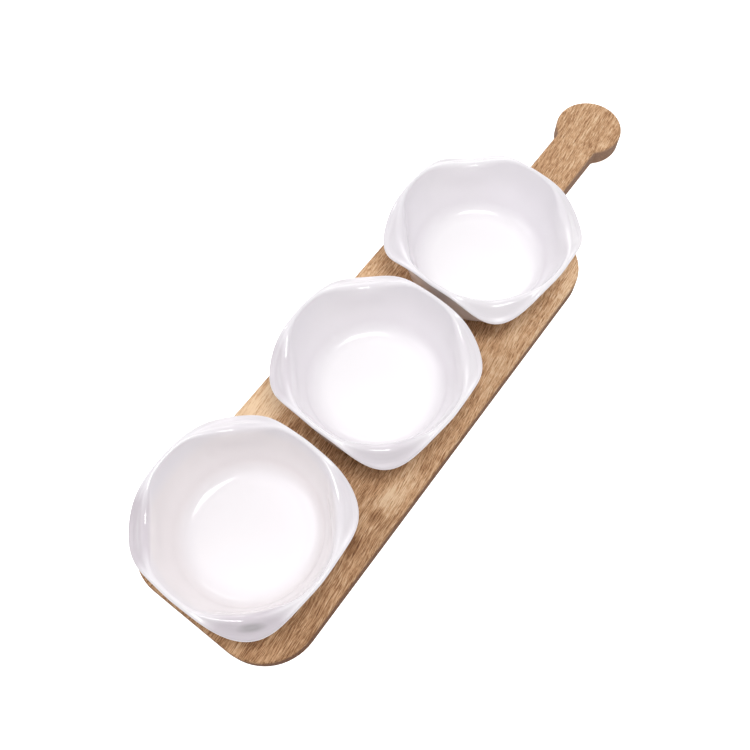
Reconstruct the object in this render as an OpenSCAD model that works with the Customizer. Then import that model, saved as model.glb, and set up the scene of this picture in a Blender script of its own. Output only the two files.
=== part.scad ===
// Chip and dip server: a wooden paddle board that carries three loose ceramic bowls with four ears each.
// The board lies along X with its handle towards +X and its underside on Z = 0. The origin is under the
// middle of the whole piece. All sizes are in millimetres.

/* [Board] */
// Length of the board's body, without neck and grip
body_length = 337; // [330:1:420]
// Width of the board's body
body_width = 120; // [114:1:180]
// Thickness of the board
board_thick = 13; // [8:0.5:25]
// Radius of the body's corners in plan
corner_r = 32.5; // [15:0.5:40]
// Radius that eases every edge of the board
edge_ease = 1.5; // [0.5:0.1:3]

/* [Handle] */
// Width of the neck
neck_width = 30; // [20:0.5:36]
// Distance from the end of the body to the middle of the round grip
grip_reach = 90; // [60:1:140]
// Diameter of the round grip
grip_d = 46; // [42:1:60]
// Radius of the inside corners between body and neck
neck_fillet = 10; // [4:0.5:14]
// Radius of the inside corners between neck and grip
grip_fillet = 4; // [2:0.5:8]

/* [Bowl] */
// Height of the bowl at the middle of a side
bowl_height = 43.5; // [38:0.5:60]
// Width across two opposite sides of the rim
bowl_across = 108.8; // [104:0.2:112]
// How much farther the two sides along the board's edges curve out than the other two
side_swell = 2; // [0:0.1:3]
// Width across the bowl's bottom, where its sides would meet the board
base_across = 92; // [84:1:98]
// Thickness of the side walls
wall = 3.8; // [3:0.1:5]
// Thickness of the floor, measured from the board up
floor_thick = 4.5; // [4:0.1:8]
// Radius between floor and walls inside
floor_round = 11; // [6:0.5:16]
// Radius between sides and bottom outside
base_round = 5; // [3:0.5:7]
// Thickness of the rim along the sides
rim_thick = 3; // [2.4:0.1:4]
// Outer diameter of the foot ring
foot_across = 81; // [70:1:82]
// Width of the foot ring where it stands
foot_width = 4.5; // [3:0.5:7]
// Height of the foot ring
foot_high = 1.5; // [1:0.1:2.5]

/* [Ears] */
// How far an ear reaches out past the rim of the sides
ear_reach = 7.8; // [5:0.2:12]
// How far the outer edge of an ear lies below the rim of the sides
ear_drop = 12.2; // [6:0.2:15]
// Thickness of an ear at its edge
ear_thick = 3; // [2.4:0.1:4]
// Depth of the hollow along the top of an ear
ear_hollow = 1.3; // [0:0.1:2.5]
// Height above the foot at which the underside of an ear grows out of the wall
ear_root = 20; // [16:0.5:24]
// Distance between the straight inner edges of two opposite ears
crest_across = 96.4; // [94:0.2:100]
// How far the crest of an ear dips below the rim of the sides
crest_drop = 6; // [3:0.2:8]
// Radius of the rounded crest of an ear
crest_round = 4.2; // [2:0.1:5]
// Length over which crest and side rim run into each other
crest_blend = 1.5; // [0.5:0.1:3]

/* [Layout] */
// Distance from the near end of the board to the middle of the near bowl
near_margin = 57; // [54:0.5:60]
// Distance from the far end of the body to the middle of the far bowl
far_margin = 51.5; // [48:0.5:53]
// How far each bowl stands towards the handle from its place in an even row, from the near end on
bowl_ahead = [0, 1.5, 0]; // [-2:0.5:2]
// How far each bowl stands to the left of the centre line, from the near end on
bowl_side = [2.5, 0, 0.5]; // [-3:0.5:3]
// How far each bowl is turned, from an ear on the centre line, in degrees
bowl_turn = [43.8, 42.4, 42.2]; // [35:0.2:55]

/* [Hidden] */

// Straight pieces between which an eased edge or a round inside edge is divided
ease_steps = 4;
// How far a cutter stands out of the board above and below
overcut = 1;
// Steps in a millimetre of the grid on which the points of eased edges lie
grid_steps = 1000;
// How far the inside corners at the grip run into neck and grip, so that no faces merely touch
run_in = 0.05;
// How sharply reach, droop and crest dip of an ear gather towards its middle
reach_power = 1.28;
drop_power = 2.4;
crest_power = 1.8;
// How sharply the swell of a side gathers towards its middle
swell_power = 3;

// Points that lead the wall's surface, as [inwards or outwards, up or down] from a neighbouring feature:
// first along a side of the bowl, then in the middle of an ear.
// Inside wall, from the inner edge and top of the crest: a lower and an upper point
wall_low_lead = [[-1.9, -9], [-1.2, -8.5]];
wall_high_lead = [[-0.8, -4.5], [-0.3, -5.2]];
// Inside wall where an ear begins, from the plain wall at the ear's root
wall_root_lead = [[0, 2], [-0.4, 2]];
// Outside below the rim of a side, from the plain wall under the rim: an upper and a lower point
side_leads = [[0, -3], [0, -9]];
// Underside of an ear: a point from its outer edge, and one from the crest's inner edge
ear_leads = [[-5, 0], [5.6, -1.8]];
// Outside at the root of an ear, from the plain wall there, and the height of the plain wall below
root_lead = [[0.8, 4], [0.4, 0]];
plain_drop = 7;
// Angles where the round of the crest ends, the same way; of the edge; and of the bottom
crest_turn = [105, 55];
edge_turn = 75;
base_turn = 70;
// Sections around a bowl, a multiple of 8 so that ears and sides each have one in their middle
bowl_sections = 64;

board_smooth = 96;
grip_r = grip_d / 2;
rim_r = bowl_across / 2;
base_r = base_across / 2;
foot_r = foot_across / 2;
overall_length = body_length + grip_reach + grip_r;
bowl_pitch = (body_length - near_margin - far_margin) / 2;

// Half of the body's end that belongs to the neck and its inside corners
throat_half = neck_width / 2 + neck_fillet;
// A body corner leaves room for the neck's inside corners
corner = min(corner_r, body_width / 2 - throat_half - edge_ease);
// Middle of the round inside corner between neck and grip
grip_x = body_length + grip_reach;
notch_y = neck_width / 2 + grip_fillet - run_in;
notch_x = grip_x - sqrt(pow(grip_r + grip_fillet - run_in, 2) - pow(notch_y, 2));

// Points of an arc from one angle to another, both ends included. They lie on a fine grid, so that pieces
// of the board with the same eased edge meet exactly.
function arc(centre, radius, from, to, steps) =
    [for (k = [0:steps]) let (a = from + (to - from) * k / steps)
        centre + [to_grid(radius * cos(a)), to_grid(radius * sin(a))]];
function to_grid(value) = round(value * grid_steps) / grid_steps;

// Value between two others
function mix(a, b, share) = a + (b - a) * share;

// ---------------------------------------------------------------- board

// Half of the board's cross-section, from its middle out to an eased edge
module half_section(reach) {
    low = [reach - edge_ease, edge_ease];
    high = [reach - edge_ease, board_thick - edge_ease];
    polygon(concat([[0, 0]], arc(low, edge_ease, -90, 0, ease_steps),
                   arc(high, edge_ease, 0, 90, ease_steps), [[0, board_thick]]));
}

// Straight stretch of board along X with its eased edge towards +Y
module straight_run(length, reach) {
    rotate([90, 0, 90]) linear_extrude(length) half_section(reach);
}

// Quarter of a round corner, between the two given directions
module round_corner(radius, from) {
    rotate(from) rotate_extrude(angle = 90, $fn = board_smooth) half_section(radius);
}

// Tool that cuts a round inside corner and eases the edges it leaves
module inside_corner_cutter(radius) {
    wide = radius + edge_ease;
    rotate_extrude($fn = board_smooth)
        polygon(concat([[0, -overcut], [wide, -overcut]],
                       arc([wide, edge_ease], edge_ease, 270, 180, ease_steps),
                       arc([wide, board_thick - edge_ease], edge_ease, 180, 90, ease_steps),
                       [[wide, board_thick + overcut], [0, board_thick + overcut]]));
}

// The half of the body on the +Y side, and the start of the neck
module half_body() {
    half = body_width / 2;
    translate([corner, 0, 0]) straight_run(body_length - 2 * corner, half);
    translate([corner, half - corner, 0]) round_corner(corner, 90);
    translate([body_length - corner, half - corner, 0]) round_corner(corner, 0);
    translate([corner, 0, 0]) rotate(90) straight_run(half - corner, corner);
    translate([body_length - corner, throat_half, 0])
        mirror([1, 0, 0]) rotate(90) straight_run(half - corner - throat_half, corner);
    difference() {
        translate([body_length - corner, 0, 0]) cube([corner + neck_fillet, throat_half, board_thick]);
        translate([body_length + neck_fillet, throat_half, 0]) inside_corner_cutter(neck_fillet);
    }
}

// The half of the neck on the +Y side, up to the middle of the grip, with the inside corner at the grip
module half_neck() {
    start = body_length + neck_fillet;
    translate([start, 0, 0]) straight_run(grip_x - start, neck_width / 2);
    difference() {
        linear_extrude(board_thick) polygon([[notch_x, 0], [grip_x, 0], [notch_x, notch_y]]);
        translate([notch_x, notch_y, 0]) inside_corner_cutter(grip_fillet);
    }
}

// The round end of the handle
module grip() {
    translate([grip_x, 0, 0]) rotate_extrude($fn = board_smooth) half_section(grip_r);
}

module board() {
    color("burlywood") translate([-overall_length / 2, 0, 0]) {
        for (side = [0, 1]) mirror([0, side, 0]) {
            half_body();
            half_neck();
        }
        grip();
    }
}

// ---------------------------------------------------------------- bowls

// How strongly an ear shows at angle t around the bowl: 1 in an ear's middle, 0 in a side's middle
function ear(t, power) = pow((1 + cos(4 * t)) / 2, power);

// How far the side swells out at angle t: along the board's edges only, most in a side's middle
function swell(t) = side_swell * pow((1 + sin(2 * t)) / 2, swell_power);

// Radius of the bowl's outside and inside, without ears, at height z, where the rim swells out that far
function outside(z, out = 0) = mix(base_r, rim_r + out, z / bowl_height);
function inside(z, out = 0) = outside(z, out) - wall;

// The smaller of two values, with a soft change from one to the other
function soft_min(a, b, blend) = b - blend * ln(1 + exp((b - a) / blend));

// Angle to the middle of the nearest ear
function ear_angle(t) = t - 90 * round(t / 90);

// Outline of the wall at angle t, as [radius, height] points that the surface is drawn towards. It runs
// from the floor up the inside, over crest, hollow and edge, and down the outside to the foot ring.
function wall_guide(t) =
    let (out = swell(t),
         edge_r = rim_r + out + ear_reach * ear(t, reach_power),
         edge_z = bowl_height - ear_drop * ear(t, drop_power),
         crest_z = bowl_height - crest_drop * ear(t, crest_power),
         crest_r = soft_min(crest_across / 2 / cos(ear_angle(t)), edge_r - rim_thick, crest_blend),
         ear_depth = rim_r + swell(0) + ear_reach - crest_across / 2,
         fold = max(0, (edge_r - crest_r - rim_thick) / (ear_depth - rim_thick)),
         crest_bend = mix(rim_thick / 2, crest_round, fold),
         edge_bend = mix(rim_thick, ear_thick, fold) / 2,
         under_z = edge_z - 2 * edge_bend,
         crest = arc([crest_r + crest_bend, crest_z - crest_bend], crest_bend, 180,
                     mix(crest_turn[0], crest_turn[1], fold), 3),
         edge = arc([edge_r - edge_bend, edge_z - edge_bend], edge_bend, edge_turn, -edge_turn, 4))
    concat(
        floor_guide(),
        [[inside(ear_root + wall_root_lead[0][1], out), ear_root] + mix(wall_root_lead[0], wall_root_lead[1], fold),
         [crest_r, crest_z] + mix(wall_low_lead[0], wall_low_lead[1], fold),
         [crest_r, crest_z] + mix(wall_high_lead[0], wall_high_lead[1], fold)],
        crest,
        [for (k = [1:3]) let (share = k / 4)
            mix(crest[3], edge[0], share) - [0, ear_hollow * fold * sin(180 * share)]],
        edge,
        [mix(below(under_z, side_leads[0], out), [edge_r, under_z] + ear_leads[0], fold),
         mix(below(under_z, side_leads[1], out), [crest_r, under_z] + ear_leads[1], fold),
         [outside(ear_root, out), ear_root] + mix(root_lead[0], root_lead[1], fold),
         [outside(ear_root - plain_drop, out), ear_root - plain_drop]],
        foot_guide());

// Point of the plain outside that lies the lead's height from z
function below(z, lead, out) = [outside(z + lead[1], out) + lead[0], z + lead[1]];

// Inside of the floor and the round between floor and wall
function floor_guide() =
    let (turn_r = inside(floor_thick) - floor_round)
    concat([[turn_r - floor_round / 2, floor_thick]],
           arc([turn_r, floor_thick + floor_round], floor_round, -90, -5, 4));

// Round between wall and bottom, the foot ring, and the recess under the bowl
function foot_guide() =
    let (turn_z = foot_high + base_round, inner_r = foot_r - foot_width)
    concat(arc([outside(turn_z) - base_round, turn_z], base_round, 0, -base_turn, 2),
           [[foot_r + foot_high, foot_high * 0.75]],
           [for (k = [0:3]) [foot_r - foot_width * k / 3, 0]],
           [for (step = [1, 3, 6]) [inner_r - foot_high * step, foot_high]]);

// The guide points with every corner between them rounded off
function soften(guide) =
    let (last = len(guide) - 1)
    [for (k = [0:last]) (guide[max(0, k - 1)] + 4 * guide[k] + guide[min(last, k + 1)]) / 6];

module bowl() {
    step = 360 / bowl_sections;
    sections = [for (s = [0:bowl_sections - 1]) soften(wall_guide(s * step))];
    count = len(sections[0]);
    points = [for (s = [0:bowl_sections - 1]) for (p = sections[s])
        [p[0] * cos(s * step), p[0] * sin(s * step), p[1]]];
    strips = [for (s = [0:bowl_sections - 1]) for (k = [0:count - 2])
        let (here = s * count + k, next = (s + 1) % bowl_sections * count + k)
        [here, here + 1, next + 1, next]];
    floor_face = [for (s = [0:bowl_sections - 1]) s * count];
    under_face = [for (s = [bowl_sections - 1:-1:0]) s * count + count - 1];
    polyhedron(points, concat(strips, [floor_face, under_face]), convexity = 6);
}

// One bowl at its place in the row: 0 is the near one, 2 the one next to the handle
module placed_bowl(place) {
    row_x = near_margin + place * bowl_pitch + bowl_ahead[place];
    translate([row_x - overall_length / 2, bowl_side[place], board_thick]) rotate(bowl_turn[place]) bowl();
}

module near_bowl() { color("white") placed_bowl(0); }
module middle_bowl() { color("white") placed_bowl(1); }
module far_bowl() { color("white") placed_bowl(2); }

board();
near_bowl();
middle_bowl();
far_bowl();
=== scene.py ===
"""Looks of the chip and dip server: a wooden paddle board with three loose, glazed bowls on it."""

import math

import bpy
from mathutils import Euler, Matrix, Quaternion, Vector


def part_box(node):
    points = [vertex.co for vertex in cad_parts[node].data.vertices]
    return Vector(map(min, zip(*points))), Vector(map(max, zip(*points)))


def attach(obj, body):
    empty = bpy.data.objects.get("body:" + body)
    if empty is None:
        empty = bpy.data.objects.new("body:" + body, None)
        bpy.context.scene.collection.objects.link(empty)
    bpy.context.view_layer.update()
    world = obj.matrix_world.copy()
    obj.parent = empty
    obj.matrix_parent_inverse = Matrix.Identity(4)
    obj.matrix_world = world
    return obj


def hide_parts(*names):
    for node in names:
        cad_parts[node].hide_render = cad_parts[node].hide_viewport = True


bl_info = {
    "name": "Chip and Dip Server",
    "version": (1, 0, 0),
    "blender": (4, 5, 0),
    "location": "3D View > Sidebar > Server",
    "description": "Dresses the paddle board in wood, models its glazed bowls and sets the studio",
    "category": "Object",
}

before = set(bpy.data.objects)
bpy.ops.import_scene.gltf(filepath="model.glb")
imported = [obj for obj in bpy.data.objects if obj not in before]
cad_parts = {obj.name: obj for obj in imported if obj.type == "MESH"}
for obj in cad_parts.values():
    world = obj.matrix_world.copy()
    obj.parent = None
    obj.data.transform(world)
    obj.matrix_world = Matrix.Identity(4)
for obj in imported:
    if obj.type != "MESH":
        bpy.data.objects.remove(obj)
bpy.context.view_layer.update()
BOWLS = ("near_bowl", "middle_bowl", "far_bowl")
MM = 0.001


# ---------------------------------------------------------------- settings


class BowlSettings(bpy.types.PropertyGroup):
    """Sizes of one bowl. Heights are counted from the foot it stands on."""

    height: bpy.props.FloatProperty(
        name="Height", description="Height of the rim in the middle of a side",
        default=0.0435, min=0.038, max=0.060, unit="LENGTH")
    across: bpy.props.FloatProperty(
        name="Across", description="Width over two opposite sides of the rim",
        default=0.1088, min=0.104, max=0.112, unit="LENGTH")
    side_swell: bpy.props.FloatProperty(
        name="Side swell", description="How much farther the two sides along the board curve out",
        default=0.002, min=0.0, max=0.003, unit="LENGTH")
    base_across: bpy.props.FloatProperty(
        name="Base", description="Width over the bottom, where the sides would meet the board",
        default=0.092, min=0.084, max=0.098, unit="LENGTH")
    wall: bpy.props.FloatProperty(
        name="Wall", description="Thickness of the side walls",
        default=0.0038, min=0.003, max=0.005, unit="LENGTH")
    rim_thick: bpy.props.FloatProperty(
        name="Rim", description="Thickness of the rim along the sides",
        default=0.003, min=0.0024, max=0.004, unit="LENGTH")
    floor_thick: bpy.props.FloatProperty(
        name="Floor", description="Height of the floor inside over the board",
        default=0.0045, min=0.004, max=0.008, unit="LENGTH")
    floor_round: bpy.props.FloatProperty(
        name="Floor round", description="Radius between floor and walls inside",
        default=0.011, min=0.006, max=0.016, unit="LENGTH")
    base_round: bpy.props.FloatProperty(
        name="Base round", description="Radius between sides and bottom outside",
        default=0.005, min=0.003, max=0.007, unit="LENGTH")
    foot_across: bpy.props.FloatProperty(
        name="Foot", description="Outer diameter of the foot ring",
        default=0.081, min=0.070, max=0.082, unit="LENGTH")
    foot_width: bpy.props.FloatProperty(
        name="Foot width", description="Width of the foot ring where it stands",
        default=0.0045, min=0.003, max=0.007, unit="LENGTH")
    foot_high: bpy.props.FloatProperty(
        name="Foot height", description="Height of the foot ring",
        default=0.0015, min=0.001, max=0.0025, unit="LENGTH")
    ear_reach: bpy.props.FloatProperty(
        name="Ear reach", description="How far an ear reaches out past the rim of the sides",
        default=0.0078, min=0.005, max=0.012, unit="LENGTH")
    ear_drop: bpy.props.FloatProperty(
        name="Ear drop", description="How far the edge of an ear lies below the rim of the sides",
        default=0.0122, min=0.006, max=0.015, unit="LENGTH")
    ear_thick: bpy.props.FloatProperty(
        name="Ear thickness", description="Thickness of an ear at its edge",
        default=0.003, min=0.0024, max=0.004, unit="LENGTH")
    ear_hollow: bpy.props.FloatProperty(
        name="Ear hollow", description="Depth of the hollow along the top of an ear",
        default=0.0013, min=0.0, max=0.0025, unit="LENGTH")
    ear_root: bpy.props.FloatProperty(
        name="Ear root", description="Height at which the underside of an ear grows out of the wall",
        default=0.020, min=0.016, max=0.024, unit="LENGTH")
    crest_across: bpy.props.FloatProperty(
        name="Crests", description="Distance between the straight inner edges of two opposite ears",
        default=0.0964, min=0.094, max=0.100, unit="LENGTH")
    crest_drop: bpy.props.FloatProperty(
        name="Crest drop", description="How far the crest of an ear dips below the rim of the sides",
        default=0.006, min=0.003, max=0.008, unit="LENGTH")
    crest_round: bpy.props.FloatProperty(
        name="Crest round", description="Radius of the rounded crest of an ear",
        default=0.0042, min=0.002, max=0.005, unit="LENGTH")
    crest_blend: bpy.props.FloatProperty(
        name="Crest blend", description="Length over which crest and side rim run into each other",
        default=0.003, min=0.0005, max=0.003, unit="LENGTH")
    turns: bpy.props.FloatVectorProperty(
        name="Turns", description="How far the near, middle and far bowl are turned on the board",
        default=tuple(math.radians(a) for a in (43.8, 42.4, 42.2)), size=3, subtype="EULER")
    sections: bpy.props.IntProperty(
        name="Sections", description="Sections around a bowl", default=192, min=64, max=384)
    strips: bpy.props.IntProperty(
        name="Strips", description="Strips from the floor over the rim to the foot",
        default=120, min=60, max=240)


class GlazeSettings(bpy.types.PropertyGroup):
    """Colours of the bowls' glaze and of the bare foot ring."""

    # Painted light: the floor inside gets a brighter colour than the walls, standing in for the light falling
    # on it from above
    floor: bpy.props.FloatVectorProperty(
        name="Floor", description="Colour of the glaze on the floor inside",
        default=(0.975, 0.955, 0.97), size=3, min=0, max=1, subtype="COLOR")
    white: bpy.props.FloatVectorProperty(
        name="Glaze", description="Colour of the glaze on walls and rim",
        default=(0.875, 0.845, 0.872), size=3, min=0, max=1, subtype="COLOR")
    tint: bpy.props.FloatVectorProperty(
        name="Tint", description="Faint second tone that the glaze of walls and rim drifts to",
        default=(0.86, 0.83, 0.868), size=3, min=0, max=1, subtype="COLOR")
    # Painted light: a warm cast of light given only to the near bowl's inner walls
    painted_warm_cast: bpy.props.FloatVectorProperty(
        name="Warm walls", description="Tone of the near bowl's walls inside",
        default=(0.895, 0.848, 0.856), size=3, min=0, max=1, subtype="COLOR")
    # Painted shade: the outside walls, which face down and away from the lamps, get this darker colour
    outside: bpy.props.FloatVectorProperty(
        name="Outside", description="Thinner, darker glaze on the outside of the walls",
        default=(0.74, 0.685, 0.675), size=3, min=0, max=1, subtype="COLOR")
    # Painted shade: the hollows of the ears get this darker tone, strongest in the near bowl and on the ears
    # towards -X and +Y
    painted_ear_shade: bpy.props.FloatVectorProperty(
        name="Pooled glaze", description="Tone of the glaze that has run into the hollows of the ears",
        default=(0.68, 0.625, 0.67), size=3, min=0, max=1, subtype="COLOR")
    # Painted shade: a dark patch in the hollow of one ear, almost only in the near bowl
    painted_patch_shade: bpy.props.FloatVectorProperty(
        name="Thickest glaze", description="Tone of the patch where the glaze lies thickest in one ear",
        default=(0.49, 0.46, 0.48), size=3, min=0, max=1, subtype="COLOR")
    bare: bpy.props.FloatVectorProperty(
        name="Bare clay", description="Colour of the unglazed foot ring",
        default=(0.62, 0.56, 0.48), size=3, min=0, max=1, subtype="COLOR")
    roughness: bpy.props.FloatProperty(
        name="Roughness", description="Roughness of the glaze", default=0.09, min=0.02, max=0.5)


class WoodSettings(bpy.types.PropertyGroup):
    """Colours and grain of the board."""

    pale: bpy.props.FloatVectorProperty(
        name="Pale wood", description="Colour of the palest flecks",
        default=(0.84, 0.62, 0.41), size=3, min=0, max=1, subtype="COLOR")
    light: bpy.props.FloatVectorProperty(
        name="Light wood", description="Colour of the light wood between the streaks",
        default=(0.63, 0.38, 0.212), size=3, min=0, max=1, subtype="COLOR")
    dark: bpy.props.FloatVectorProperty(
        name="Dark wood", description="Colour of the dark streaks",
        default=(0.345, 0.175, 0.082), size=3, min=0, max=1, subtype="COLOR")
    pores: bpy.props.FloatVectorProperty(
        name="Pores", description="Colour of the open pores",
        default=(0.17, 0.08, 0.038), size=3, min=0, max=1, subtype="COLOR")
    # Painted shade: the sides' wood colour, darkened far below the top's
    sides: bpy.props.FloatVectorProperty(
        name="Sides", description="Colour of the body's sawn sides and ends",
        default=(0.135, 0.058, 0.032), size=3, min=0, max=1, subtype="COLOR")
    # Painted shade: the handle's sides, darkened less than the body's
    handle_sides_shaded: bpy.props.FloatVectorProperty(
        name="Handle sides", description="Colour of the sides of the handle",
        default=(0.225, 0.138, 0.10), size=3, min=0, max=1, subtype="COLOR")
    lightness: bpy.props.FloatProperty(
        name="Lightness", description="Tone of the plain wood between dark and pale",
        default=0.56, min=0, max=1)
    banding: bpy.props.FloatProperty(
        name="Banding", description="Strength of the broad bands of grain", default=0.45, min=0, max=2)
    slant: bpy.props.FloatProperty(
        name="Slant", description="Angle between the grain and the board's length",
        default=math.radians(7), min=-0.5, max=0.5, subtype="ANGLE")


class StageSettings(bpy.types.PropertyGroup):
    """Camera, lights and the surface that the server lies on."""

    camera_at: bpy.props.FloatVectorProperty(
        name="Camera", description="Place of the camera",
        default=(-0.2104, -0.1293, 0.4799), size=3, subtype="TRANSLATION", unit="LENGTH")
    camera_turn: bpy.props.FloatVectorProperty(
        name="Camera turn", description="Direction of the camera",
        default=tuple(math.radians(a) for a in (24.57, 1.21, -53.19)), size=3, subtype="EULER")
    lens: bpy.props.FloatProperty(
        name="Lens", description="Focal length in millimetres on a 36 mm sensor",
        default=39.58, min=20, max=120)
    floor_white: bpy.props.FloatVectorProperty(
        name="Floor", description="Colour of the surface the server lies on",
        default=(0.93, 0.93, 0.93), size=3, min=0, max=1, subtype="COLOR")
    sky: bpy.props.FloatProperty(
        name="Surrounding light", description="Strength of the light from all around",
        default=0.34, min=0, max=5)


# ---------------------------------------------------------------- shared helpers


# Colour sockets of a Mix node. Its value and vector sockets have the same names, so they go by number
MIX_FIRST, MIX_SECOND, MIX_RESULT = 6, 7, 2


def mesh_piece(name, points, faces, material):
    """A new smooth mesh object of these points and faces, with one material."""
    mesh = bpy.data.meshes.new(name)
    mesh.from_pydata(points, [], faces)
    mesh.update()
    mesh.shade_smooth()
    mesh.materials.append(material)
    piece = bpy.data.objects.new(name, mesh)
    bpy.context.collection.objects.link(piece)
    return piece


def new_material(name):
    """An empty node material: (material, node tree, its Principled shader)."""
    material = bpy.data.materials.new(name)
    material.use_nodes = True
    tree = material.node_tree
    return material, tree, tree.nodes["Principled BSDF"]


def add_node(tree, kind, inputs=None, **settings):
    """A node of that kind. inputs maps sockets to a value or to the output that feeds them."""
    node = tree.nodes.new(kind)
    for key, value in settings.items():
        setattr(node, key, value)
    for key, value in (inputs or {}).items():
        if isinstance(value, bpy.types.NodeSocket):
            tree.links.new(value, node.inputs[key])
        else:
            node.inputs[key].default_value = value
    return node


def ramp(tree, value, low, high):
    """value run from 0 at low to 1 at high."""
    node = add_node(tree, "ShaderNodeValToRGB", {"Fac": value})
    node.color_ramp.elements[0].position = low
    node.color_ramp.elements[1].position = high
    return node.outputs["Color"]


def blend(tree, share, first, second):
    """Two colours mixed by share."""
    node = add_node(tree, "ShaderNodeMix", data_type="RGBA")
    sockets = (node.inputs["Factor"], node.inputs[MIX_FIRST], node.inputs[MIX_SECOND])
    for socket, value in zip(sockets, (share, first, second)):
        if isinstance(value, bpy.types.NodeSocket):
            tree.links.new(value, socket)
        elif socket.type == "VALUE":
            socket.default_value = value
        else:
            socket.default_value = (*value, 1)
    return node.outputs[MIX_RESULT]


def math_node(tree, how, first, second=0.0):
    """The result of a sum on one or two values."""
    return add_node(tree, "ShaderNodeMath", {0: first, 1: second}, operation=how).outputs[0]


def vector_node(tree, how, first, second=(0.0, 0.0, 0.0)):
    """The result of a sum on one or two vectors. A length or dot product comes out as a value."""
    node = add_node(tree, "ShaderNodeVectorMath", {0: first, 1: second}, operation=how)
    return node.outputs["Value" if how in ("LENGTH", "DOT_PRODUCT") else "Vector"]


def axis_of(tree, vector, axis):
    """One axis of a vector."""
    return add_node(tree, "ShaderNodeSeparateXYZ", {0: vector}).outputs[axis]


def span(tree, value, low, high):
    """value from 0 to 1 run onto low to high."""
    return add_node(tree, "ShaderNodeMapRange", {"Value": value, "To Min": low, "To Max": high}).outputs[0]


def between(tree, value, start, end):
    """0 where value is at start, rising or falling evenly to 1 at end."""
    ends = {"Value": value, "From Min": start, "From Max": end}
    return add_node(tree, "ShaderNodeMapRange", ends).outputs[0]


def times(tree, first, *others):
    """Product of several values."""
    for other in others:
        first = math_node(tree, "MULTIPLY", first, other)
    return first


def noise_on(tree, vector, scale, detail=2.0, roughness=0.5):
    """Smooth noise at that many lumps a metre."""
    inputs = {"Vector": vector, "Scale": scale, "Detail": detail, "Roughness": roughness}
    return add_node(tree, "ShaderNodeTexNoise", inputs).outputs["Fac"]


def handling_group():
    """Node group of the faint film that hands and cloths leave: a mask of smears."""
    group = bpy.data.node_groups.new("Handling film", "ShaderNodeTree")
    face = group.interface
    face.new_socket("Size", in_out="INPUT", socket_type="NodeSocketFloat").default_value = 30
    face.new_socket("Smears", in_out="OUTPUT", socket_type="NodeSocketFloat")
    entry = group.nodes.new("NodeGroupInput")
    leave = group.nodes.new("NodeGroupOutput")
    place = add_node(group, "ShaderNodeTexCoord").outputs["Object"]
    smears = noise_on(group, place, entry.outputs["Size"], 4.0, 0.6)
    group.links.new(ramp(group, smears, 0.35, 0.70), leave.inputs["Smears"])
    return group


def add_handling(tree, size):
    """Mask of the handling film in a material, with that many smears a metre."""
    node = tree.nodes.new("ShaderNodeGroup")
    node.node_tree = bpy.data.node_groups.get("Handling film") or handling_group()
    node.inputs["Size"].default_value = size
    return node.outputs["Smears"]


# ---------------------------------------------------------------- board


# Features of the grain: (length along it, width across it, detail of the noise)
BANDS = (0.20, 0.011, 2.0)
STREAKS = (0.018, 0.0009, 2.0)
FIBRES = (0.008, 0.0004, 2.0)
CURLS = (0.006, 0.016, 2.0)
CLOUDS = (0.016, 0.008, 3.0)
PORES = (0.0048, 0.0006, 1.0)
FLECKS = (0.0055, 0.0006, 1.0)
# How many times a metre the grain wanders, and how far
WANDER_LUMPS, WANDER_REACH = 14.0, 0.010
# Smears of handling a metre on the wood
WOOD_SMEARS = 24.0

# Where the darker painted shade on the body's sides turns to the lighter one on the handle's sides, along the
# board
HANDLE_STARTS = (0.10, 0.16)

# Lighter and darker places of the board's top: (middle, length, width, how much lighter).
# Most rows are the wood's own tone. The two rows at y = 0.050 on the +Y side of the bowls and the long
# row along the -Y edge at y = -0.056 are painted light that brightens the wood beside the bowls.
WOOD_TONE_AND_LIGHT_SPOTS = (
    ((-0.100, 0.050), 0.120, 0.036, 0.46),
    ((-0.107, -0.045), 0.020, 0.004, 0.32),
    ((-0.100, -0.048), 0.060, 0.018, 0.30),
    ((-0.117, -0.048), 0.014, 0.009, -0.30),
    ((-0.137, -0.048), 0.018, 0.010, -0.26),
    ((0.200, -0.001), 0.090, 0.005, 0.16),
    ((0.200, 0.000), 0.110, 0.080, 0.06),
    ((0.050, -0.056), 0.240, 0.040, 0.20),
    ((-0.010, 0.050), 0.090, 0.036, 0.24),
    ((-0.206, -0.036), 0.080, 0.070, -0.13),
)


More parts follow.
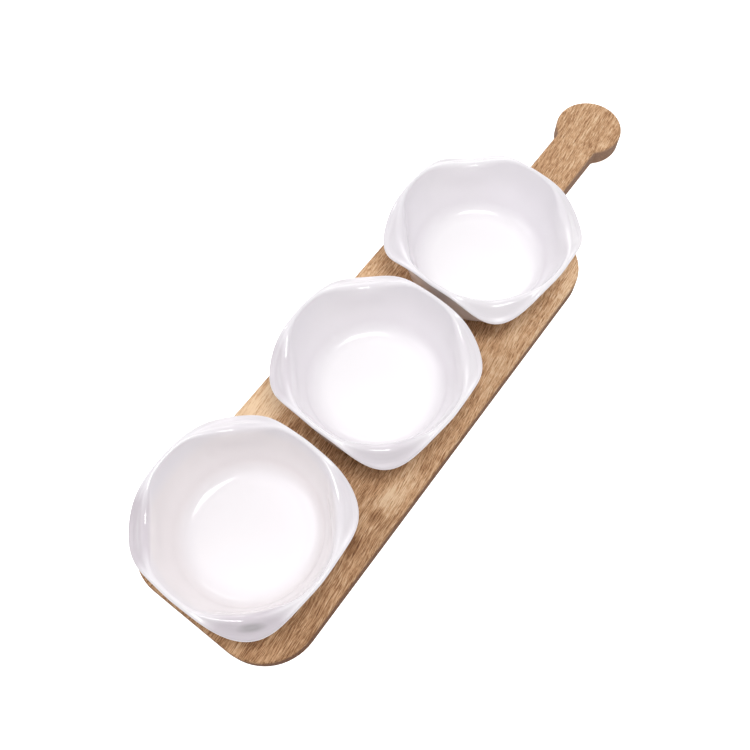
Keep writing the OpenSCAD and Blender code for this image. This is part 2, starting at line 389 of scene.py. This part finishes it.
def wood_material(wood):
    """Oiled light hardwood: slanting grain, curly shimmer, short open pores, and sides darkened with painted
    shade.
    """
    material, tree, shader = new_material("wood")
    place = add_node(tree, "ShaderNodeTexCoord").outputs["Object"]
    wander = add_node(tree, "ShaderNodeTexNoise", {"Vector": place, "Scale": WANDER_LUMPS, "Detail": 2.0})
    shift = vector_node(tree, "SUBTRACT", wander.outputs["Color"], (0.5, 0.5, 0.5))
    shift = vector_node(tree, "MULTIPLY", shift, (WANDER_REACH, WANDER_REACH, WANDER_REACH))
    bent = vector_node(tree, "ADD", place, shift)
    turn_back = (0, 0, -wood.slant)
    turned = add_node(tree, "ShaderNodeMapping", {"Vector": bent, "Rotation": turn_back}).outputs[0]

    def grain(length, width, detail):
        """Noise whose features are about that long along the grain and that wide, from -0.5 to 0.5."""
        scale = (1 / length, 1 / width, 1 / width)
        stretched = add_node(tree, "ShaderNodeMapping", {"Vector": turned, "Scale": scale}).outputs[0]
        return math_node(tree, "SUBTRACT", noise_on(tree, stretched, 1.0, detail, 0.6), 0.5)

    def peaks(feature, low, high):
        """0 where a feature of the grain is below low and 1 where it is over high, on a scale from 0 to 1."""
        return ramp(tree, math_node(tree, "ADD", feature, 0.5), low, high)

    def spot(middle, length, width):
        """1 in the middle of an oval spot that lies along the grain, falling softly to 0 at its outline."""
        offset = vector_node(tree, "SUBTRACT", bent, (*middle, 0.0))
        size = {"Vector": offset, "Rotation": turn_back, "Scale": (2 / length, 2 / width, 0.0)}
        oval = add_node(tree, "ShaderNodeMapping", size).outputs[0]
        return between(tree, vector_node(tree, "LENGTH", oval), 1.1, 0.3)

    fibres, clouds = grain(*FIBRES), grain(*CLOUDS)
    pores = peaks(grain(*PORES), 0.55, 0.59)
    # How much each feature lightens the wood, or darkens it where the share is below 0
    shares = [(grain(*BANDS), wood.banding), (grain(*STREAKS), 0.9), (fibres, 1.2), (grain(*CURLS), 0.3),
              (clouds, 0.2), (pores, -0.20), (peaks(grain(*FLECKS), 0.57, 0.61), 0.12),
              (peaks(clouds, 0.58, 0.72), -0.16)]
    # The spots: the wood's own lighter and darker places, and painted light beside the bowls
    shares += [(spot(middle, length, width), lighter) for middle, length, width, lighter in WOOD_TONE_AND_LIGHT_SPOTS]
    paleness = wood.lightness
    for feature, share in shares:
        paleness = math_node(tree, "ADD", times(tree, feature, share), paleness)

    tone = blend(tree, ramp(tree, paleness, 0.0, 0.33), wood.pores, wood.dark)
    tone = blend(tree, ramp(tree, paleness, 0.33, 0.66), tone, wood.light)
    tone = blend(tree, ramp(tree, paleness, 0.66, 1.0), tone, wood.pale)

    # Painted shade: faces that turn sideways take the darker side colours
    facing = axis_of(tree, add_node(tree, "ShaderNodeNewGeometry").outputs["Normal"], "Z")
    side = math_node(tree, "SUBTRACT", 1.0, math_node(tree, "ABSOLUTE", facing))
    handle = between(tree, axis_of(tree, place, "X"), *HANDLE_STARTS)
    shaded_side_tone = blend(tree, handle, wood.sides, wood.handle_sides_shaded)
    tone = blend(tree, times(tree, side, 0.85), tone, shaded_side_tone)

    smears = add_handling(tree, WOOD_SMEARS)
    rough = math_node(tree, "ADD", span(tree, smears, 0.48, 0.62), times(tree, side, 0.3))
    height = math_node(tree, "SUBTRACT", times(tree, fibres, 0.6), pores)
    bump = add_node(tree, "ShaderNodeBump", {"Height": height, "Distance": 0.0002, "Strength": 0.5})
    tree.links.new(tone, shader.inputs["Base Color"])
    tree.links.new(rough, shader.inputs["Roughness"])
    tree.links.new(bump.outputs[0], shader.inputs["Normal"])
    shader.inputs["IOR"].default_value = 1.45
    shader.inputs["Specular IOR Level"].default_value = 0.15
    return material


# ---------------------------------------------------------------- bowls


# How fast an ear's reach, drop and crest drop fade towards the sides of the bowl
REACH_FADE, DROP_FADE, CREST_FADE = 1.28, 2.4, 1.8
# Sizes of the smaller rings that close floor and underside
RING_SHARES = (0.75, 0.5, 0.25)


def mix(first, second, share):
    """A value between two others: the first at share 0, the second at share 1."""
    return first + (second - first) * share


def arc(centre, radius, start, end, steps):
    """Points of an arc from one angle to another, in degrees, both ends included."""
    angles = [math.radians(mix(start, end, k / steps)) for k in range(steps + 1)]
    return [(centre[0] + radius * math.cos(a), centre[1] + radius * math.sin(a)) for a in angles]


def wall_guide(bowl, angle):
    """Outline of the wall at that angle from the middle of an ear, as (radius, height) points that the
    surface is drawn towards: from the floor up the inside, over crest, hollow and edge, down to the foot."""

    def ear(fade):
        """1 in the middle of an ear, fading to 0 in the middle of a side."""
        return ((1 + math.cos(4 * angle)) / 2) ** fade

    def swell(at):
        """How much farther the side curves out at that angle."""
        return bowl.side_swell * ((1 + math.sin(2 * at)) / 2) ** 3

    def outside(z, out=0.0):
        """Radius of the wall's outside at that height, with its rim moved out."""
        return mix(bowl.base_across / 2, bowl.across / 2 + out, z / bowl.height)

    def inside(z, out=0.0):
        """Radius of the wall's inside at that height, with its rim moved out."""
        return outside(z, out) - bowl.wall

    rim_r, foot_r = bowl.across / 2, bowl.foot_across / 2
    out = swell(angle)
    edge_r = rim_r + out + bowl.ear_reach * ear(REACH_FADE)
    edge_z = bowl.height - bowl.ear_drop * ear(DROP_FADE)
    crest_z = bowl.height - bowl.crest_drop * ear(CREST_FADE)
    off = (angle + math.pi / 4) % (math.pi / 2) - math.pi / 4
    chord_r, limit_r = bowl.crest_across / 2 / math.cos(off), edge_r - bowl.rim_thick
    soft = bowl.crest_blend
    crest_r = limit_r - soft * math.log(1 + math.exp((limit_r - chord_r) / soft))
    ear_depth = rim_r + swell(0) + bowl.ear_reach - bowl.crest_across / 2
    fold = max(0.0, (edge_r - crest_r - bowl.rim_thick) / (ear_depth - bowl.rim_thick))
    crest_bend = mix(bowl.rim_thick / 2, bowl.crest_round, fold)
    edge_bend = mix(bowl.rim_thick, bowl.ear_thick, fold) / 2
    under_z = edge_z - 2 * edge_bend
    root = bowl.ear_root

    turn_r = inside(bowl.floor_thick) - bowl.floor_round
    turn_z = bowl.foot_high + bowl.base_round
    inner_r = foot_r - bowl.foot_width
    crest = arc((crest_r + crest_bend, crest_z - crest_bend), crest_bend, 180, mix(105, 55, fold), 3)
    edge = arc((edge_r - edge_bend, edge_z - edge_bend), edge_bend, 75, -75, 4)

    # Floor and inside of the wall
    guide = [(turn_r - bowl.floor_round / 2, bowl.floor_thick)]
    guide += arc((turn_r, bowl.floor_thick + bowl.floor_round), bowl.floor_round, -90, -5, 4)
    guide += [(inside(root + 2 * MM, out) - 0.4 * MM * fold, root + 2 * MM),
              (crest_r - mix(1.9, 1.2, fold) * MM, crest_z - mix(9, 8.5, fold) * MM),
              (crest_r - mix(0.8, 0.3, fold) * MM, crest_z - mix(4.5, 5.2, fold) * MM)]
    # Crest, hollow top of the ear, and its edge
    guide += crest
    for share in (0.25, 0.5, 0.75):
        sag = bowl.ear_hollow * fold * math.sin(math.pi * share)
        guide.append((mix(crest[-1][0], edge[0][0], share), mix(crest[-1][1], edge[0][1], share) - sag))
    guide += edge
    # Underside of the ear and outside of the wall
    guide += [(mix(outside(under_z - 3 * MM, out), edge_r - 5 * MM, fold),
               under_z - mix(3, 0, fold) * MM),
              (mix(outside(under_z - 9 * MM, out), crest_r + 5.6 * MM, fold),
               under_z - mix(9, 1.8, fold) * MM),
              (outside(root, out) + mix(0.8, 0.4, fold) * MM, root + mix(4, 0, fold) * MM),
              (outside(root - 7 * MM, out), root - 7 * MM)]
    # Round of the base, foot ring and the level underside within it
    guide += arc((outside(turn_z) - bowl.base_round, turn_z), bowl.base_round, 0, -70, 2)
    guide += [(foot_r + bowl.foot_high, bowl.foot_high * 0.75)]
    guide += [(foot_r - bowl.foot_width * k / 3, 0.0) for k in range(4)]
    guide += [(inner_r - bowl.foot_high * step, bowl.foot_high) for step in (1, 3, 6)]
    return guide


def along(guide, where):
    """Point on the smooth curve drawn towards the guide's points. where counts points."""
    last = len(guide) - 1
    k = min(int(where), last - 1)
    t = where - k
    weights = ((1 - t) ** 3 / 6, (3 * t ** 3 - 6 * t ** 2 + 4) / 6,
               (-3 * t ** 3 + 3 * t ** 2 + 3 * t + 1) / 6, t ** 3 / 6)
    near = [guide[max(0, min(last, k + step))] for step in (-1, 0, 1, 2)]
    return tuple(sum(w * p[axis] for w, p in zip(weights, near)) for axis in (0, 1))


def bowl_mesh(bowl):
    """Points and faces of a bowl that stands on its origin with one ear towards +X."""
    points, faces = [], []
    rows, turns = bowl.strips + 1, bowl.sections
    for s in range(turns):
        angle = 2 * math.pi * s / turns
        guide = wall_guide(bowl, angle)
        for k in range(rows):
            r, z = along(guide, (len(guide) - 1) * k / bowl.strips)
            points.append((r * math.cos(angle), r * math.sin(angle), z))
    for s in range(turns):
        here, there = s * rows, (s + 1) % turns * rows
        faces += [(here + k, here + k + 1, there + k + 1, there + k) for k in range(bowl.strips)]
    faces += centre_fan(points, [s * rows for s in range(turns)], inward=True)
    faces += centre_fan(points, [s * rows + rows - 1 for s in range(turns)], inward=False)
    return points, faces


def centre_fan(points, ring, inward):
    """Faces that close a level ring with smaller rings and a middle point, which are added to points."""
    faces, outer = [], ring
    z = points[ring[0]][2]
    for share in RING_SHARES:
        inner = []
        for index in ring:
            inner.append(len(points))
            points.append((points[index][0] * share, points[index][1] * share, z))
        faces += ring_quads(outer, inner, inward)
        outer = inner
    points.append((0.0, 0.0, z))
    middle = len(points) - 1
    for k, index in enumerate(outer):
        pair = (index, outer[(k + 1) % len(outer)])
        faces.append((pair[0], pair[1], middle) if inward else (pair[1], pair[0], middle))
    return faces


def ring_quads(outer, inner, inward):
    """Quads between two rings of equal count."""
    faces = []
    for k in range(len(outer)):
        n = (k + 1) % len(outer)
        quad = (outer[k], outer[n], inner[n], inner[k])
        faces.append(quad if inward else quad[::-1])
    return faces


# Where the glaze and its painted light and shade change. Each pair gives where a change begins and where it
# is complete:
# along the board, from the far bowl to the near one: the painted fall-off of light towards the near end
FAR_TO_NEAR = (0.19, -0.13)
# by radius
WALL_FROM_FLOOR, WALL_TO_EAR = (0.034, 0.042), (0.0515, 0.049)
# Painted light on the floor inside, by radius
FLOOR_INWARDS = (0.042, 0.030)
MATT_FLOOR, WORN_EDGE = (0.047, 0.042), (0.0570, 0.0600)
# Painted shade in the ear hollows, by radius
EAR_SHADE_OUTWARDS = (0.047, 0.051)
# by height over the foot
BARE_TO_GLAZED = (0.0006, 0.0009)
# Painted shade in the ear hollows, by height
EAR_SHADE_DOWNWARDS = (0.043, 0.038)
# by how far the surface faces up
FACING_IN, FACING_OUT, FACING_UP = (0.0, 0.1), (0.05, -0.12), (0.35, 0.70)
# and by how far a point lies towards one side of the bowl, with the direction of that side, where the painted
# shade in the ears is strongest
EAR_SHADE_DIRECTION, EAR_SHADE_DEPTH = (-1.0, 1.0, 0.0), (-0.02, 0.02)
# Middle and half size of a patch of painted shade in one ear
SHADE_PATCH_MIDDLE, SHADE_PATCH_HALF = (-0.0563, -0.0015, 0.0), (0.0022, 0.008)
# Smears of handling a metre on the glaze, and lumps a metre of its other unevenness
GLAZE_SMEARS, DRIFT_LUMPS, WAVE_LUMPS, RAGGED_LUMPS = 40.0, 14.0, 55.0, 180.0


def glaze_material(glaze):
    """Glossy white glaze with painted light and shade: a brighter floor, a warm cast in the near bowl, darker
    outside walls, ear hollows and one patch; bare where the foot stands.
    """
    material, tree, shader = new_material("glaze")
    place = add_node(tree, "ShaderNodeTexCoord").outputs["Object"]
    height = axis_of(tree, place, "Z")
    flat = vector_node(tree, "MULTIPLY", place, (1, 1, 0))
    radius = vector_node(tree, "LENGTH", flat)
    facing = axis_of(tree, add_node(tree, "ShaderNodeNewGeometry").outputs["Normal"], "Z")
    bowl_at = add_node(tree, "ShaderNodeObjectInfo").outputs["Location"]
    # Painted fall-off of light towards the near end: a less bright floor, warm walls, darker ears and a dark
    # patch
    near = between(tree, axis_of(tree, bowl_at, "X"), *FAR_TO_NEAR)
    nearest = math_node(tree, "POWER", near, 8.0)

    ragged = times(tree, noise_on(tree, place, RAGGED_LUMPS), 0.0008)
    glazed = between(tree, math_node(tree, "ADD", height, ragged), *BARE_TO_GLAZED)
    walls = times(tree, between(tree, radius, *WALL_FROM_FLOOR), between(tree, radius, *WALL_TO_EAR),
                  between(tree, facing, *FACING_IN))
    # Painted light: the floor inside is brightened, less in the near bowl
    floor = times(tree, between(tree, radius, *FLOOR_INWARDS), span(tree, nearest, 1.0, 0.6))
    # Painted shade on the outside walls, where the surface faces down
    outside = between(tree, facing, *FACING_OUT)
    run = between(tree, vector_node(tree, "DOT_PRODUCT", flat, EAR_SHADE_DIRECTION), *EAR_SHADE_DEPTH)
    # Painted shade in the hollows of the ears, growing towards the near bowl
    ear_shade_mask = times(tree, between(tree, radius, *EAR_SHADE_OUTWARDS), between(tree, height, *EAR_SHADE_DOWNWARDS),
                 between(tree, facing, *FACING_UP), span(tree, run, 0.35, 1.0),
                 math_node(tree, "POWER", near, 1.5))
    # Painted shade: an oval patch in one ear hollow
    offset = vector_node(tree, "SUBTRACT", flat, SHADE_PATCH_MIDDLE)
    squash = (1 / SHADE_PATCH_HALF[0], 1 / SHADE_PATCH_HALF[1], 0)
    oval = add_node(tree, "ShaderNodeMapping", {"Vector": offset, "Scale": squash}).outputs[0]
    patch = between(tree, vector_node(tree, "LENGTH", oval), 1.1, 0.4)

    drift = ramp(tree, noise_on(tree, place, DRIFT_LUMPS), 0.35, 0.65)
    tone = blend(tree, drift, glaze.white, glaze.tint)
    # Painted warm cast of light on the near bowl's inner walls
    tone = blend(tree, times(tree, walls, nearest), tone, glaze.painted_warm_cast)
    # Painted light on the floor inside
    tone = blend(tree, floor, tone, glaze.floor)
    # Painted shade on the outside walls
    tone = blend(tree, outside, tone, glaze.outside)
    # Painted shade in the ear hollows
    tone = blend(tree, ear_shade_mask, tone, glaze.painted_ear_shade)
    # Painted shade patch in one ear of the near bowl
    tone = blend(tree, times(tree, patch, ear_shade_mask, nearest), tone, glaze.painted_patch_shade)
    tone = blend(tree, glazed, glaze.bare, tone)

    gloss = span(tree, add_handling(tree, GLAZE_SMEARS), glaze.roughness, glaze.roughness + 0.05)
    matt = math_node(tree, "ADD", times(tree, between(tree, radius, *MATT_FLOOR), 0.05),
                     times(tree, between(tree, radius, *WORN_EDGE), 0.22))
    rough = blend(tree, glazed, (0.75, 0.75, 0.75), math_node(tree, "ADD", gloss, matt))
    waves = noise_on(tree, place, WAVE_LUMPS, 1.0)
    bump = add_node(tree, "ShaderNodeBump", {"Height": waves, "Distance": 0.0004, "Strength": 0.25})
    tree.links.new(tone, shader.inputs["Base Color"])
    tree.links.new(rough, shader.inputs["Roughness"])
    tree.links.new(bump.outputs[0], shader.inputs["Normal"])
    shader.inputs["IOR"].default_value = 1.5
    return material


# ---------------------------------------------------------------- stage


# Half the length of the surface that the server lies on
FLOOR_REACH = 6.0
# The studio's soft lights: (name, place, target, (length, width), power in watts, turn in degrees)
LIGHTS = (
    ("overhead_lamp", (-0.10, -0.24, 1.1), (-0.05, 0, 0), (0.50, 0.30), 6.2, -45),
    ("back_panel", (0.65, 0.50, 0.40), (0, 0, 0.02), (0.6, 0.6), 2.6, 0),
    ("left_panel", (-0.42, 0.50, 0.60), (0, 0, 0.02), (0.6, 0.6), 1.6, 0),
    ("right_panel", (0.50, -0.60, 0.35), (0, 0, 0.02), (0.5, 0.5), 0.5, 0),
)


def floor_material(stage):
    """Plain pale surface that stays white round the piece, but throws little of its own light on it."""
    material, tree, shader = new_material("floor")
    place = add_node(tree, "ShaderNodeTexCoord").outputs["Object"]
    cloud = noise_on(tree, place, 3.0)
    pale = tuple(channel * 0.99 for channel in stage.floor_white)
    tone = blend(tree, cloud, stage.floor_white, pale)
    seen = add_node(tree, "ShaderNodeLightPath").outputs["Is Camera Ray"]
    tree.links.new(tone, shader.inputs["Base Color"])
    tree.links.new(blend(tree, seen, (0.4, 0.4, 0.4), (1, 1, 1)), shader.inputs["Emission Color"])
    shader.inputs["Roughness"].default_value = 0.7
    shader.inputs["Emission Strength"].default_value = 0.8
    return material


def area_light(name, place, target, size, power, turn):
    """Soft light of that size at place, pointing at target and turned on its own axis."""
    lamp = bpy.data.lights.new(name, "AREA")
    lamp.shape, lamp.energy = "RECTANGLE", power
    lamp.size, lamp.size_y = size
    light = bpy.data.objects.new(name, lamp)
    light.location = place
    aim = (Vector(target) - Vector(place)).to_track_quat("-Z", "Y")
    light.rotation_euler = (aim @ Quaternion((0, 0, 1), math.radians(turn))).to_euler()
    bpy.context.collection.objects.link(light)


# ---------------------------------------------------------------- operators and panel


class SERVER_OT_board(bpy.types.Operator):
    """Gives the paddle board its wood"""

    bl_idname = "server.board"
    bl_label = "Finish the board"

    def execute(self, context):
        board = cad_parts["board"]
        material = wood_material(context.scene.server_wood)
        board.data.materials.clear()
        board.data.materials.append(material)
        return {"FINISHED"}


class SERVER_OT_bowls(bpy.types.Operator):
    """Models the bowls and glazes them"""

    bl_idname = "server.bowls"
    bl_label = "Make the bowls"

    def execute(self, context):
        bowl = context.scene.server_bowl
        material = glaze_material(context.scene.server_glaze)
        points, faces = bowl_mesh(bowl)
        for node, turn in zip(BOWLS, bowl.turns):
            piece = mesh_piece(node + "_glazed", points, faces, material)
            low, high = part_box(node)
            piece.location = ((low[0] + high[0]) / 2, (low[1] + high[1]) / 2, low[2])
            piece.rotation_euler = (0, 0, turn)
            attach(piece, node)
            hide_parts(node)
        return {"FINISHED"}


class SERVER_OT_stage(bpy.types.Operator):
    """Sets the floor, the lights and the camera"""

    bl_idname = "server.stage"
    bl_label = "Set the stage"

    def execute(self, context):
        stage = context.scene.server_stage
        corners = [(x * FLOOR_REACH, y * FLOOR_REACH, 0) for x, y in ((-1, -1), (1, -1), (1, 1), (-1, 1))]
        floor = mesh_piece("floor", corners, [(0, 1, 2, 3)], floor_material(stage))

        world = bpy.data.worlds.new("studio")
        world.use_nodes = True
        background = world.node_tree.nodes["Background"]
        background.inputs["Color"].default_value = (1, 1, 1, 1)
        background.inputs["Strength"].default_value = stage.sky
        context.scene.world = world
        for light in LIGHTS:
            area_light(*light)

        lens = bpy.data.cameras.new("camera")
        lens.lens, lens.sensor_width, lens.clip_start = stage.lens, 36.0, 0.01
        camera = bpy.data.objects.new("camera", lens)
        camera.location = stage.camera_at
        camera.rotation_euler = Euler(stage.camera_turn)
        context.collection.objects.link(camera)
        context.scene.camera = camera
        context.scene.view_settings.view_transform = "Standard"
        return {"FINISHED"}


class SERVER_PT_panel(bpy.types.Panel):
    """Steps and settings of the server"""

    bl_idname = "SERVER_PT_panel"
    bl_label = "Chip and Dip Server"
    bl_space_type = "VIEW_3D"
    bl_region_type = "UI"
    bl_category = "Server"

    def draw(self, context):
        layout = self.layout
        for operator in OPERATORS:
            layout.operator(operator.bl_idname)
        for name in SETTINGS:
            settings = getattr(context.scene, name)
            box = layout.box()
            for key in settings.__annotations__:
                box.prop(settings, key)


OPERATORS = (SERVER_OT_board, SERVER_OT_bowls, SERVER_OT_stage)
SETTINGS = {"server_wood": WoodSettings, "server_bowl": BowlSettings,
            "server_glaze": GlazeSettings, "server_stage": StageSettings}
CLASSES = (*SETTINGS.values(), *OPERATORS, SERVER_PT_panel)


def register():
    """Makes the settings, operators and panel known."""
    for cls in CLASSES:
        bpy.utils.register_class(cls)
    for name, settings in SETTINGS.items():
        setattr(bpy.types.Scene, name, bpy.props.PointerProperty(type=settings))


def unregister():
    """Takes the settings, operators and panel away again."""
    for name in SETTINGS:
        delattr(bpy.types.Scene, name)
    for cls in reversed(CLASSES):
        bpy.utils.unregister_class(cls)


def main():
    """Makes the whole model."""
    register()
    bpy.ops.server.board()
    bpy.ops.server.bowls()
    bpy.ops.server.stage()


if __name__ == "__main__":
    main()
